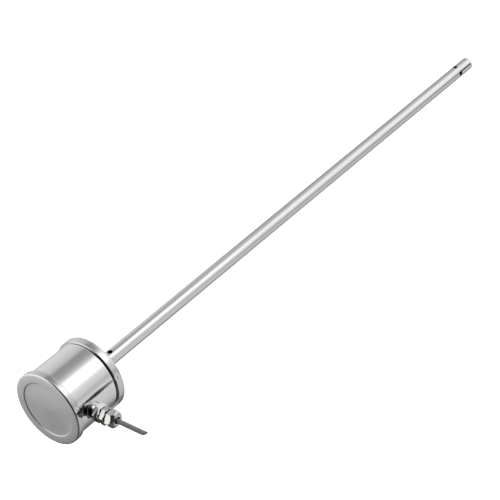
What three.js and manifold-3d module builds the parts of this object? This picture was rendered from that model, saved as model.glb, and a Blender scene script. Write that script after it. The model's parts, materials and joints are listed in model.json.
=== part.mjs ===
// Liquid level probe: a round steel head with a screw cover and a cable gland, on a long slotted
// sensing tube. Millimetres, +Z up. The origin is the centre of the base flange's underside: the head
// stands above it, the tube hangs below it, and the cable leaves along +X.
import * as THREE from 'three';
import { mergeVertices } from 'three/addons/utils/BufferGeometryUtils.js';
import Module from 'manifold-3d';

const wasm = await Module();
wasm.setup();

// ---------- driving dimensions ----------
const GAP = 0.3; // clearance between neighbouring pieces
const ROUND = 44; // sides of a large round piece
const MIDDLE = 24; // sides of the tube, the gland and what sits in them
const SMALL = 14; // sides of a small round piece

const FLANGE = { radius: 42.2, thickness: 9, chamfer: 0.8, spigotTop: 17, spigotWall: 3.6 };
const BOSS = { radius: 13.2, length: 17, chamfer: 1 }; // G 3/4 process thread under the flange
const BASE_GASKET = { radius: 39.4, bottom: 9, top: 9.7 };
const DRUM = { radius: 39.9, wall: 2.6, neckRadius: 39.2, top: 66.5 };
const COVER = { radius: 42.45, top: 70.7, skirt: 8, disc: 2.6, chamfer: 0.8 };
const RECESS = { radius: 31.6, depth: 0.8 }; // shallow round panel in the cover's face
const COVER_GASKET = { inner: 37.6, outer: 38.9, thickness: 1 };

const TUBE = { radius: 8, wall: 1, tip: -726, top: -1.5 };
const TOP_VENT = { radius: 2.9, z: -26.5, turn: 89.5 * Math.PI / 180 };
const TIP_VENTS = { radius: 3.1, z: -699, turn: 9 * Math.PI / 180 };
const SLOT = { width: 1.5, turn: 26 * Math.PI / 180 }; // sawn up from the tip to the vents
const ROD = { radius: 3, tip: -716, top: 30 };
const SLEEVE = { radius: 4.3, tip: -712 };
const SPACER = { length: 8, notch: 1.6, places: [-130, -270, -410, -550] };
const END_PLUG = { tip: -725.8, top: -708, socketDepth: 12, chamfer: 0.8 };

const BUSH = { stem: 6, shoulder: 11, shoulderZ: 4, top: 9.2 };
const PACKING_NUT = { flats: 24, thickness: 5, bore: 4.3 };
const INSULATOR = { radius: 8, thickness: 1.6 };
const PLAIN_WASHER = { radius: 6, thickness: 1.2 };
const RING_TERMINAL = { radius: 5.4, thickness: 0.8, length: 15, width: 4.4 };
const ELECTRODE_NUT = { flats: 10, thickness: 5 };
const LEAD_RADIUS = 0.8;

const GLAND = { height: 45.4, flats: 17.3, corner: 0.7, turn: 44.4 * Math.PI / 180 };
const SOCKET = { inner: 36.6, neckEnd: 46, neckRadius: 8.2, end: 54, bore: 6.3 };
const GLAND_WASHER = { radius: 8.6, end: 55 };
const GLAND_BODY = { start: 43, hexEnd: 61, end: 67.6, stem: 6, thread: 7, bore: 3.4 };
const GLAND_RING = { radius: 8, inner: 7.3, thickness: 1 };
const GLAND_NUT = { hexEnd: 69, end: 72.5, bore: 3.8, inner: 7.3, shelf: 70.6 };
const DOME = { slope: 1.6, noseRadius: 6, rounding: 0.7 };
const SEAL = { inner: 2.85, outer: 5.2, start: 64, end: 68.5 };
const CABLE = { radius: 2.6, inside: 27, end: 108.6, cut: 0.8 }; // cut is the slope of its free end
const CORE_RADIUS = 0.6;

const BOARD = { radius: 33, bottom: 33, thickness: 1.6 };
const STANDOFF = { flats: 5.5, place: 28.5, bore: 1.7, boreDepth: 6, azimuths: [60, 180, 300] };
const SCREW = { shank: 1.4, head: 2.7, headHeight: 2, length: 5 };
const TERMINALS = { x: 6, depth: 9, height: 11, pitch: 5, count: 4 };
const TERMINAL_WELL = { radius: 1.9, floor: 6.4, screwRadius: 1.5, screwHeight: 2.4 };
const TERMINAL_ENTRY = { x: 11, halfWidth: 1.6, bottom: 2, top: 5.6 };
const TRIMMER = { size: 9.5, height: 5, x: -18, spread: 14 };
const ROTOR = { radius: 3, seat: 2.5, proud: 0.4, slot: 0.8, slotDepth: 0.9 };
const CHIP = { x: -4, size: 8, height: 1.6 };
const CAPACITOR = { x: -4, y: 17, radius: 4, height: 10.5, chamfer: 0.4 };
const INDUCTOR = { x: -4, y: -16, radius: 5, height: 6 };
const EARTH = { x: 22, y: -16, lugRadius: 3.4, hole: 1.8, lug: 0.8, screwRadius: 3, screwHeight: 2.2 };

const boardTop = BOARD.bottom + BOARD.thickness;
const terminalY = (i) => (i - (TERMINALS.count - 1) / 2) * TERMINALS.pitch;

// ---------- materials ----------
const finish = (color, roughness, metalness) =>
  new THREE.MeshStandardMaterial({ color, roughness, metalness });
const polishedSteel = finish(0xd4d5d6, 0.12, 1);
const satinSteel = finish(0xb4b5b6, 0.35, 1);
const nickel = finish(0xd8d6d0, 0.18, 1);
const brass = finish(0xc9a860, 0.3, 1);
const blackRubber = finish(0x161617, 0.6, 0);
const whitePtfe = finish(0xe9e9e4, 0.5, 0);
const greyPvc = finish(0x7b7c7e, 0.5, 0);
const boardGreen = finish(0x1d5b3a, 0.45, 0);
const greenPlastic = finish(0x2c7a44, 0.4, 0);
const bluePlastic = finish(0x2a5fa8, 0.4, 0);
const blackPlastic = finish(0x1b1b1c, 0.45, 0);
const coreColours = [0xa4292b, 0x1c1c1e, 0x2f57a5, 0xd8c13a];

// ---------- shapes ----------
const polar = (radius, degrees) =>
  [radius * Math.cos(degrees * Math.PI / 180), radius * Math.sin(degrees * Math.PI / 180)];

// A profile of [radius, height] points, turned about Z, in either order and closed on itself.
function turned(profile, sides = ROUND) {
  const area = profile.reduce((sum, [r, z], i) => {
    const [nextR, nextZ] = profile[(i + 1) % profile.length];
    return sum + r * nextZ - nextR * z;
  }, 0);
  const ordered = area > 0 ? profile : [...profile].reverse();
  const points = [...ordered, ordered[0]].map(([r, z]) => new THREE.Vector2(r, z));
  return new THREE.LatheGeometry(points, sides).rotateX(Math.PI / 2);
}

// A rectangle of the radii and heights given, turned into a ring, or into a disc with inner = 0.
const ring = (inner, outer, bottom, top, sides = ROUND) =>
  turned([[inner, bottom], [outer, bottom], [outer, top], [inner, top]], sides);

const block = (x0, x1, y0, y1, z0, z1) =>
  new THREE.BoxGeometry(x1 - x0, y1 - y0, z1 - z0).translate((x0 + x1) / 2, (y0 + y1) / 2, (z0 + z1) / 2);

// A hexagonal ring along Z, or a hexagon with bore = 0, its corners turned down to a chamfer at both ends.
function hexRing(flats, bore, bottom, top, corner = 0.5) {
  const cornerRadius = flats / Math.sqrt(3);
  const faceRadius = flats / 2 - 0.2;
  const drop = Math.min(corner, (cornerRadius - flats / 2) * 0.6);
  const corners = [0, 60, 120, 180, 240, 300].map((degrees) => polar(cornerRadius, degrees));
  const outline = new THREE.Shape(corners.map(([x, y]) => new THREE.Vector2(x, y)));
  const prism = new THREE.ExtrudeGeometry(outline, { depth: top - bottom, bevelEnabled: false });
  const chamfered = turned([
    [bore, bottom - 1], [faceRadius, bottom - 1], [faceRadius, bottom], [cornerRadius, bottom + drop],
    [cornerRadius, top - drop], [faceRadius, top], [faceRadius, top + 1], [bore, top + 1],
  ], MIDDLE);
  return common(prism.translate(0, 0, bottom), chamfered);
}

// ---------- booleans ----------
function toSolid(geometry) {
  const bare = geometry.clone();
  bare.deleteAttribute('normal');
  bare.deleteAttribute('uv');
  const merged = mergeVertices(bare, 1e-4);
  const index = merged.index.array;
  const kept = [];
  for (let i = 0; i < index.length; i += 3) {
    const [a, b, c] = [index[i], index[i + 1], index[i + 2]];
    if (a !== b && b !== c && c !== a) kept.push(a, b, c);
  }
  return new wasm.Manifold(new wasm.Mesh({
    numProp: 3,
    vertProperties: merged.attributes.position.array,
    triVerts: new Uint32Array(kept),
  }));
}

function toGeometry(solid) {
  const mesh = solid.getMesh();
  const geometry = new THREE.BufferGeometry();
  geometry.setAttribute('position', new THREE.BufferAttribute(mesh.vertProperties, 3));
  geometry.setIndex(new THREE.BufferAttribute(mesh.triVerts, 1));
  geometry.computeVertexNormals();
  return geometry;
}

const cut = (geometry, ...tools) =>
  toGeometry(tools.reduce((solid, tool) => solid.subtract(toSolid(tool)), toSolid(geometry)));
const join = (geometry, ...others) =>
  toGeometry(others.reduce((solid, other) => solid.add(toSolid(other)), toSolid(geometry)));
const common = (a, b) => toGeometry(toSolid(a).intersect(toSolid(b)));

// ---------- assembly helpers ----------
function piece(name, geometry, material) {
  const mesh = new THREE.Mesh(geometry, material);
  mesh.name = name;
  return mesh;
}

function group(...children) {
  return new THREE.Group().add(...children);
}

// Geometry built along Z, laid along +X at the gland's height.
const alongGland = (geometry) => geometry.rotateY(Math.PI / 2).translate(0, 0, GLAND.height);

// A plain round wire or cable along a list of points.
function wire(points, radius, steps, sides = 8) {
  const path = new THREE.CatmullRomCurve3(points.map(([x, y, z]) => new THREE.Vector3(x, y, z)));
  const section = new THREE.Shape();
  for (let i = 0; i < sides; i++) {
    const a = i * 2 * Math.PI / sides;
    section[i ? 'lineTo' : 'moveTo'](radius * Math.cos(a), radius * Math.sin(a));
  }
  section.closePath();
  return new THREE.ExtrudeGeometry(section, { steps, extrudePath: path, bevelEnabled: false });
}

// ---------- head ----------
function baseFlange() {
  const f = FLANGE;
  const spigotOuter = DRUM.radius - DRUM.wall - GAP;
  const spigotInner = spigotOuter - f.spigotWall;
  const tubeSocket = TUBE.radius + GAP;
  return turned([
    [tubeSocket, -BOSS.length],
    [BOSS.radius - BOSS.chamfer, -BOSS.length], [BOSS.radius, -BOSS.length + BOSS.chamfer], [BOSS.radius, 0],
    [f.radius - f.chamfer, 0], [f.radius, f.chamfer],
    [f.radius, f.thickness - f.chamfer], [f.radius - f.chamfer, f.thickness],
    [spigotOuter, f.thickness], [spigotOuter, f.spigotTop],
    [spigotInner, f.spigotTop], [spigotInner, f.thickness],
    [BUSH.shoulder + GAP, f.thickness], [BUSH.shoulder + GAP, BUSH.shoulderZ],
    [BUSH.stem + GAP, BUSH.shoulderZ], [BUSH.stem + GAP, TUBE.top + GAP], [tubeSocket, TUBE.top + GAP],
  ]);
}

function baseGasket() {
  const { radius, bottom, top } = BASE_GASKET;
  return ring(DRUM.radius - DRUM.wall + GAP, radius, bottom + GAP / 2, top - GAP / 2);
}

// The drum with its threaded neck at the top and the gland's hexagon socket welded to its wall.
function drumShell() {
  const inner = DRUM.radius - DRUM.wall;
  const neck = COVER.top - COVER.skirt - GAP;
  const shell = turned([
    [inner, BASE_GASKET.top], [DRUM.radius, BASE_GASKET.top], [DRUM.radius, neck],
    [DRUM.neckRadius, neck], [DRUM.neckRadius, DRUM.top], [inner, DRUM.top],
  ]);
  const neckPart = alongGland(ring(0, SOCKET.neckRadius, SOCKET.inner + 2, SOCKET.neckEnd + 1, MIDDLE));
  const hexagon = hexRing(GLAND.flats, 0, SOCKET.neckEnd, SOCKET.end, GLAND.corner);
  const hex = alongGland(hexagon.rotateZ(GLAND.turn));
  const bore = alongGland(ring(0, SOCKET.bore, SOCKET.inner - 3, SOCKET.end + 1, MIDDLE));
  const outside = ring(inner, SOCKET.end + 10, BASE_GASKET.top - 1, COVER.top);
  return cut(join(shell, common(join(neckPart, hex), outside)), bore);
}

function coverGasket() {
  const top = COVER.top - COVER.disc - GAP;
  return ring(COVER_GASKET.inner, COVER_GASKET.outer, top - COVER_GASKET.thickness, top);
}

function screwCover() {
  const c = COVER;
  const under = c.top - c.disc;
  const inner = DRUM.neckRadius + GAP;
  return turned([
    [0, under], [inner, under], [inner, c.top - c.skirt + 0.4], [inner + 0.4, c.top - c.skirt],
    [c.radius - c.chamfer, c.top - c.skirt], [c.radius, c.top - c.skirt + c.chamfer],
    [c.radius, c.top - c.chamfer], [c.radius - c.chamfer, c.top],
    [RECESS.radius + RECESS.depth, c.top], [RECESS.radius, c.top - RECESS.depth], [0, c.top - RECESS.depth],
  ]);
}

// ---------- probe ----------
function outerTube() {
  const t = TUBE;
  const wall = ring(t.radius - t.wall, t.radius, t.tip, t.top, MIDDLE);
  const drill = ({ radius, z, turn }, more = 0) =>
    new THREE.CylinderGeometry(radius, radius, 3 * t.radius, SMALL)
      .rotateZ(Math.PI / 2).rotateZ(turn + more).translate(0, 0, z);
  const saw = block(-2 * t.radius, 2 * t.radius, -SLOT.width / 2, SLOT.width / 2, t.tip - 1, TIP_VENTS.z);
  return cut(wall, drill(TOP_VENT), drill(TIP_VENTS), drill(TIP_VENTS, Math.PI / 2), saw.rotateZ(SLOT.turn));
}

function spacer(z) {
  const inner = SLEEVE.radius + GAP;
  const outer = TUBE.radius - TUBE.wall - GAP;
  const body = ring(inner, outer, z, z + SPACER.length, MIDDLE);
  const notches = [0, 120, 240].map((degrees) => {
    const [x, y] = polar(outer, degrees);
    return ring(0, SPACER.notch, z - 1, z + SPACER.length + 1, 10).translate(x, y, 0);
  });
  return cut(body, ...notches);
}

function endPlug() {
  const outer = TUBE.radius - TUBE.wall - GAP;
  const socket = SLEEVE.radius + GAP;
  const floor = END_PLUG.top - END_PLUG.socketDepth;
  return turned([
    [0, END_PLUG.tip], [outer - END_PLUG.chamfer, END_PLUG.tip], [outer, END_PLUG.tip + END_PLUG.chamfer],
    [outer, END_PLUG.top], [socket, END_PLUG.top], [socket, floor], [0, floor],
  ], MIDDLE);
}

function insulatorBush() {
  const bore = ROD.radius + GAP;
  const bottom = TUBE.top + 2 * GAP;
  const seat = BUSH.shoulderZ + GAP;
  return turned([
    [bore, bottom], [BUSH.stem, bottom], [BUSH.stem, seat],
    [BUSH.shoulder, seat], [BUSH.shoulder, BUSH.top], [bore, BUSH.top],
  ], MIDDLE);
}

// The crimped terminal under the electrode's nut: a ring with a flat tail along +X.
function ringTerminal(bottom) {
  const { radius, thickness, length, width } = RING_TERMINAL;
  const top = bottom + thickness;
  const tail = block(0, length, -width / 2, width / 2, bottom, top);
  const hole = ring(0, ROD.radius + GAP, bottom - 1, top + 1, SMALL);
  return cut(join(ring(0, radius, bottom, top, SMALL), tail), hole);
}

function probe() {
  const bore = ROD.radius + GAP;
  const nutTop = BUSH.top + GAP + PACKING_NUT.thickness;
  const insulatorTop = nutTop + GAP + INSULATOR.thickness;
  const washerTop = insulatorTop + GAP + PLAIN_WASHER.thickness;
  const terminalTop = washerTop + GAP + RING_TERMINAL.thickness;
  const nutSeat = terminalTop + GAP;
  const tail = RING_TERMINAL.length;
  const lead = [[tail - 2, 0, nutSeat + LEAD_RADIUS], [tail, 0, nutSeat + 3.7], [tail + 0.4, 0, 27],
    [tail, 0, BOARD.bottom - GAP]];
  const electrodeNut = hexRing(ELECTRODE_NUT.flats, bore, nutSeat, nutSeat + ELECTRODE_NUT.thickness);
  return group(
    piece('outer_tube', outerTube(), polishedSteel),
    piece('electrode_rod', ring(0, ROD.radius, ROD.tip, ROD.top, SMALL), satinSteel),
    piece('rod_sleeve', ring(bore, SLEEVE.radius, SLEEVE.tip, TUBE.top - GAP, SMALL), blackPlastic),
    ...SPACER.places.map((z, i) => piece(`spacer_${i + 1}`, spacer(z), whitePtfe)),
    piece('end_plug', endPlug(), blackPlastic),
    piece('insulator_bush', insulatorBush(), whitePtfe),
    piece('packing_nut', hexRing(PACKING_NUT.flats, PACKING_NUT.bore, BUSH.top + GAP, nutTop), satinSteel),
    piece('insulating_washer', ring(bore, INSULATOR.radius, nutTop + GAP, insulatorTop, MIDDLE), whitePtfe),
    piece('plain_washer', ring(bore, PLAIN_WASHER.radius, insulatorTop + GAP, washerTop, MIDDLE), satinSteel),
    piece('ring_terminal', ringTerminal(washerTop + GAP), brass),
    piece('electrode_nut', electrodeNut, satinSteel),
    piece('electrode_lead', wire(lead, LEAD_RADIUS, 10), finish(coreColours[0], 0.5, 0)),
  );
}

// ---------- gland and cable ----------
function glandBody() {
  const g = GLAND_BODY;
  const stem = ring(0, g.stem, g.start, GLAND_WASHER.end + 1, MIDDLE);
  const hex = hexRing(GLAND.flats, 0, GLAND_WASHER.end + GAP, g.hexEnd, GLAND.corner).rotateZ(GLAND.turn);
  const thread = ring(0, g.thread, g.hexEnd - 1, g.end, MIDDLE);
  const bore = ring(0, g.bore, g.start - 1, g.end + 1, MIDDLE);
  const seat = ring(0, SEAL.outer + GAP, SEAL.start - GAP, g.end + 1, MIDDLE);
  return alongGland(cut(join(stem, hex, thread), bore, seat));
}

// A domed nut: a hexagon whose far end narrows in two slopes to the nose round the cable.
function glandNut() {
  const n = GLAND_NUT;
  const start = GLAND_BODY.hexEnd + 2 * GAP + GLAND_RING.thickness;
  const cornerRadius = GLAND.flats / Math.sqrt(3);
  const prism = hexRing(GLAND.flats, 0, start, n.end, GLAND.corner);
  const dome = turned([
    [0, start - 1], [cornerRadius + 1, start - 1], [cornerRadius + 1, n.hexEnd - DOME.slope],
    [cornerRadius - 0.6, n.hexEnd], [cornerRadius - 1.9, n.hexEnd + DOME.slope],
    [DOME.noseRadius + DOME.rounding, n.end - DOME.rounding], [DOME.noseRadius, n.end], [0, n.end],
  ], 36);
  const thread = ring(0, n.inner, start - 2, n.shelf, MIDDLE);
  const mouth = ring(0, n.bore, start, n.end + 1, MIDDLE);
  return alongGland(cut(common(prism, dome), thread, mouth));
}

function gland() {
  const { inner, radius, thickness } = GLAND_RING;
  const ringStart = GLAND_BODY.hexEnd + GAP;
  const rubberRing = ring(inner, radius, ringStart, ringStart + thickness, MIDDLE);
  const washer = ring(SOCKET.bore, GLAND_WASHER.radius, SOCKET.end + GAP, GLAND_WASHER.end, MIDDLE);
  const clampOuter = GLAND_NUT.inner - GAP;
  const clamp = ring(CABLE.radius + GAP, clampOuter, SEAL.end + GAP, GLAND_NUT.shelf - GAP, MIDDLE);
  return group(
    piece('gland_washer', alongGland(washer), blackRubber),
    piece('gland_body', glandBody(), nickel),
    piece('gland_ring', alongGland(rubberRing), blackRubber),
    piece('gland_seal', alongGland(ring(SEAL.inner, SEAL.outer, SEAL.start, SEAL.end, MIDDLE)), blackRubber),
    piece('gland_clamp', alongGland(clamp), blackPlastic),
    piece('gland_nut', glandNut(), nickel),
  );
}

// The free end is cut off at a slant: longer on the side that faces down and towards +Y.
function cableOutside() {
  const start = GLAND_NUT.end;
  const uncut = CABLE.end + 2 * CABLE.radius;
  const round = new THREE.CylinderGeometry(CABLE.radius, CABLE.radius, uncut - start, 12);
  const laid = round.rotateZ(-Math.PI / 2).translate((start + uncut) / 2, 0, GLAND.height);
  const knife = block(0, 20, -10, 10, -10, 10).rotateY(-Math.atan(CABLE.cut)).rotateX(Math.PI / 4);
  return cut(laid, knife.translate(CABLE.end, 0, GLAND.height));
}

// One core, from the end of the jacket down into its own way of the terminal block.
function cableCore(i) {
  const y = terminalY(i);
  const tight = y / TERMINALS.pitch * 2 * (CORE_RADIUS + 0.15);
  const face = TERMINALS.x + TERMINALS.depth;
  const entryZ = boardTop + (TERMINAL_ENTRY.bottom + TERMINAL_ENTRY.top) / 2;
  const points = [
    [CABLE.inside - GAP, tight, GLAND.height], [CABLE.inside - 3, tight * 1.2, GLAND.height - 0.4],
    [CABLE.inside - 7, y * 0.8, GLAND.height - 3.6], [face + 2, y, entryZ + 0.6], [face - 2, y, entryZ],
  ];
  return wire(points, CORE_RADIUS, 12);
}

function cable() {
  const end = GLAND_NUT.end - GAP;
  const jacket = new THREE.CylinderGeometry(CABLE.radius, CABLE.radius, end - CABLE.inside, 12);
  jacket.rotateZ(-Math.PI / 2).translate((end + CABLE.inside) / 2, 0, GLAND.height);
  return group(
    piece('cable_outside', cableOutside(), greyPvc),
    piece('cable_inside', jacket, greyPvc),
    ...coreColours.map((colour, i) => piece(`cable_core_${i + 1}`, cableCore(i), finish(colour, 0.5, 0))),
  );
}

// ---------- electronics ----------
function circuitBoard() {
  const disc = ring(0, BOARD.radius, BOARD.bottom, boardTop, 40);
  const holes = STANDOFF.azimuths.map((degrees) => {
    const [x, y] = polar(STANDOFF.place, degrees);
    return ring(0, STANDOFF.bore, BOARD.bottom - 1, boardTop + 1, 12).translate(x, y, 0);
  });
  return cut(disc, ...holes);
}

function standoff(degrees) {
  const [x, y] = polar(STANDOFF.place, degrees);
  const height = BOARD.bottom - FLANGE.thickness;
  const corner = STANDOFF.flats / Math.sqrt(3);
  const post = new THREE.CylinderGeometry(corner, corner, height, 6).rotateX(Math.PI / 2);
  post.translate(0, 0, FLANGE.thickness + height / 2);
  const bore = ring(0, STANDOFF.bore, BOARD.bottom - STANDOFF.boreDepth, BOARD.bottom + 1, 12);
  return cut(post, bore).translate(x, y, 0);
}

// A pan head on a shank, standing on the height given.
function screw(x, y, seat) {
  const { shank, head, headHeight, length } = SCREW;
  const top = seat + headHeight;
  return turned([
    [0, seat - length], [shank, seat - length], [shank, seat], [head, seat],
    [head, seat + headHeight * 0.6], [head * 0.7, top], [0, top],
  ], 12).translate(x, y, 0);
}

function terminalBlock() {
  const t = TERMINALS;
  const half = t.count * t.pitch / 2;
  const outerFace = t.x + t.depth;
  const body = block(t.x, outerFace, -half, half, boardTop, boardTop + t.height);
  const { radius, floor } = TERMINAL_WELL;
  const { x, halfWidth, bottom, top } = TERMINAL_ENTRY;
  const tools = [];
  for (let i = 0; i < t.count; i++) {
    const y = terminalY(i);
    const well = ring(0, radius, boardTop + floor, boardTop + t.height + 1, 12);
    tools.push(well.translate(t.x + t.depth / 2, y, 0));
    tools.push(block(x, outerFace + 1, y - halfWidth, y + halfWidth, boardTop + bottom, boardTop + top));
  }
  return cut(body, ...tools);
}

function terminalScrew(i) {
  const { screwRadius, screwHeight, floor } = TERMINAL_WELL;
  const bottom = boardTop + floor + GAP;
  return ring(0, screwRadius, bottom, bottom + screwHeight, 12)
    .translate(TERMINALS.x + TERMINALS.depth / 2, terminalY(i), 0);
}

// An adjusting potentiometer: a square case and the slotted rotor that turns in it.
function trimmer(name, y) {
  const half = TRIMMER.size / 2;
  const top = boardTop + TRIMMER.height;
  const seat = top - ROTOR.seat;
  const rotorTop = top + ROTOR.proud;
  const box = block(-half, half, -half, half, boardTop, top);
  const well = ring(0, ROTOR.radius + GAP, seat, top + 1, SMALL);
  const rotor = ring(0, ROTOR.radius, seat + GAP, rotorTop, SMALL);
  const driverSlot = block(-half, half, -ROTOR.slot / 2, ROTOR.slot / 2, rotorTop - ROTOR.slotDepth, top + 1);
  return group(
    piece(`${name}_case`, cut(box, well).translate(TRIMMER.x, y, 0), bluePlastic),
    piece(`${name}_rotor`, cut(rotor, driverSlot).translate(TRIMMER.x, y, 0), brass),
  );
}

function capacitor() {
  const { x, y, radius, height, chamfer } = CAPACITOR;
  const top = boardTop + height;
  const can = turned([
    [0, boardTop], [radius, boardTop], [radius, top - chamfer], [radius - chamfer, top], [0, top],
  ], SMALL);
  return can.translate(x, y, 0);
}

function inductor() {
  const { x, y, radius, height } = INDUCTOR;
  return ring(0, radius, boardTop, boardTop + height, SMALL).translate(x, y, 0);
}

function chip() {
  const half = CHIP.size / 2;
  return block(CHIP.x - half, CHIP.x + half, -half, half, boardTop, boardTop + CHIP.height);
}

// The earth point on the flange: a lug under a screw, and its lead up to the board.
function earth() {
  const { x, y, lugRadius, hole, lug, screwRadius, screwHeight } = EARTH;
  const top = FLANGE.thickness + lug;
  const washer = ring(hole, lugRadius, FLANGE.thickness, top, SMALL).translate(x, y, 0);
  const head = ring(0, screwRadius, top, top + screwHeight, 12).translate(x, y, 0);
  const lead = [[x - 4.4, y, top], [x - 6, y, top + 4], [x - 6.4, y, 26], [x - 6, y, BOARD.bottom - GAP]];
  return group(
    piece('earth_lug', washer, brass),
    piece('earth_screw', head, satinSteel),
    piece('earth_lead', wire(lead, LEAD_RADIUS, 10), finish(0x4e8a3a, 0.5, 0)),
  );
}

function electronics() {
  const boardScrew = (azimuth) => screw(...polar(STANDOFF.place, azimuth), boardTop);
  return group(
    ...STANDOFF.azimuths.map((azimuth, i) => piece(`standoff_${i + 1}`, standoff(azimuth), brass)),
    piece('circuit_board', circuitBoard(), boardGreen),
    ...STANDOFF.azimuths.map((azimuth, i) => piece(`board_screw_${i + 1}`, boardScrew(azimuth), satinSteel)),
    piece('terminal_block', terminalBlock(), greenPlastic),
    ...coreColours.map((_, i) => piece(`terminal_screw_${i + 1}`, terminalScrew(i), nickel)),
    piece('controller_chip', chip(), blackPlastic),
    piece('smoothing_capacitor', capacitor(), blackPlastic),
    piece('filter_inductor', inductor(), blackPlastic),
    trimmer('zero_trimmer', TRIMMER.spread / 2),
    trimmer('span_trimmer', -TRIMMER.spread / 2),
    earth(),
  );
}

function head() {
  return group(
    piece('base_flange', baseFlange(), satinSteel),
    piece('base_gasket', baseGasket(), blackRubber),
    piece('drum_shell', drumShell(), polishedSteel),
    piece('cover_gasket', coverGasket(), blackRubber),
    piece('screw_cover', screwCover(), satinSteel),
  );
}

const levelProbe = group(head(), probe(), gland(), cable(), electronics());

export default levelProbe;
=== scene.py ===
import json
import math

import bpy
from mathutils import Matrix, Vector


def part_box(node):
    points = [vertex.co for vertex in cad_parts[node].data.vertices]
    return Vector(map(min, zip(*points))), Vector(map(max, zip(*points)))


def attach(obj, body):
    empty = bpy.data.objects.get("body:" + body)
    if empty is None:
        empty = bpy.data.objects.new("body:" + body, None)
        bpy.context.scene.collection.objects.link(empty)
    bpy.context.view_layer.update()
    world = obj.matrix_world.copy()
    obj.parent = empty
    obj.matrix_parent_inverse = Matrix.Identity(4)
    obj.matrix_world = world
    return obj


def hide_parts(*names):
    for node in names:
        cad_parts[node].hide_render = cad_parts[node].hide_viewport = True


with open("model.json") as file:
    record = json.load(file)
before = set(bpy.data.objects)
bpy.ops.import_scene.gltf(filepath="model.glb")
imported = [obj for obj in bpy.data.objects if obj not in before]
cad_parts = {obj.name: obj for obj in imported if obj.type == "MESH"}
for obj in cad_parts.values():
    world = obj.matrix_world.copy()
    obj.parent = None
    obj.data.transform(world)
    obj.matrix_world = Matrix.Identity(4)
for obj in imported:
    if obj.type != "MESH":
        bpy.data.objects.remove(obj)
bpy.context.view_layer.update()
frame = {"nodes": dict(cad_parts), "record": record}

MM = 0.001
TAU = math.tau

# ---------------------------------------------------------------- sizes that the frame doesn't give

FLANGE_THICKNESS = 9 * MM
DRUM_WALL = 2.6 * MM
NECK_RADIUS = 39.2 * MM
GAP = 0.3 * MM
HEX_FLATS = 17.3 * MM
HEX_TURN = math.radians(44.4)
TOP_VENT_RADIUS = 2.9 * MM
TOP_VENT_TURN = math.radians(89.5)
TOP_VENT_Z = -26.5 * MM
TIP_VENT_RADIUS = 3.1 * MM
TIP_VENT_TURN = math.radians(9)
TIP_VENT_Z = -699 * MM
SLOT_WIDTH = 1.5 * MM
SLOT_TURN = math.radians(26)
ROD_BORE = 3.3 * MM  # bore of the pieces that sit on the electrode rod
GLAND_BORE = 6.3 * MM
DRUM_LIFT = 0.15 * MM  # how far above the CAD gasket's top the finer drum starts

# ---------------------------------------------------------------- sizes read from the frame


def span(node, axis):
    low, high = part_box(node)
    return low[axis], high[axis]


def radius_of(node):
    low, high = span(node, 1)
    return (high - low) / 2


drum_radius = radius_of("drum_shell")
drum_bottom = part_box("base_gasket")[1][2] + DRUM_LIFT
drum_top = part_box("drum_shell")[1][2]
flange_radius = radius_of("base_flange")
boss_bottom, spigot_top = span("base_flange", 2)
cover_radius = radius_of("screw_cover")
cover_skirt, cover_top = span("screw_cover", 2)
gasket_radius = radius_of("base_gasket")
tube_radius = radius_of("outer_tube")
tube_tip, tube_top = span("outer_tube", 2)
gland_height = sum(span("gland_nut", 2)) / 2
socket_end = span("drum_shell", 0)[1]
nut_start, nut_end = span("gland_nut", 0)
cable_radius = radius_of("cable_outside")

# ---------------------------------------------------------------- camera

CAMERA_PLACE = Vector((1.04728, 1.11085, 0.92764))
CAMERA_RIGHT = Vector((0.78892, -0.09131, -0.60767))
CAMERA_UP = Vector((-0.29451, 0.81174, -0.50433))
CAMERA_LENS = 123.845


def make_camera():
    data = bpy.data.cameras.new("camera")
    data.lens = CAMERA_LENS
    data.sensor_width = 36
    data.clip_start = 0.05
    data.clip_end = 100
    camera = bpy.data.objects.new("camera", data)
    bpy.context.scene.collection.objects.link(camera)
    right = CAMERA_RIGHT.normalized()
    up = (CAMERA_UP - right * CAMERA_UP.dot(right)).normalized()
    back = right.cross(up)
    turn = Matrix((right, up, back)).transposed().to_4x4()
    camera.matrix_world = Matrix.Translation(CAMERA_PLACE) @ turn
    bpy.context.scene.camera = camera


make_camera()

# ---------------------------------------------------------------- node materials


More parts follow.
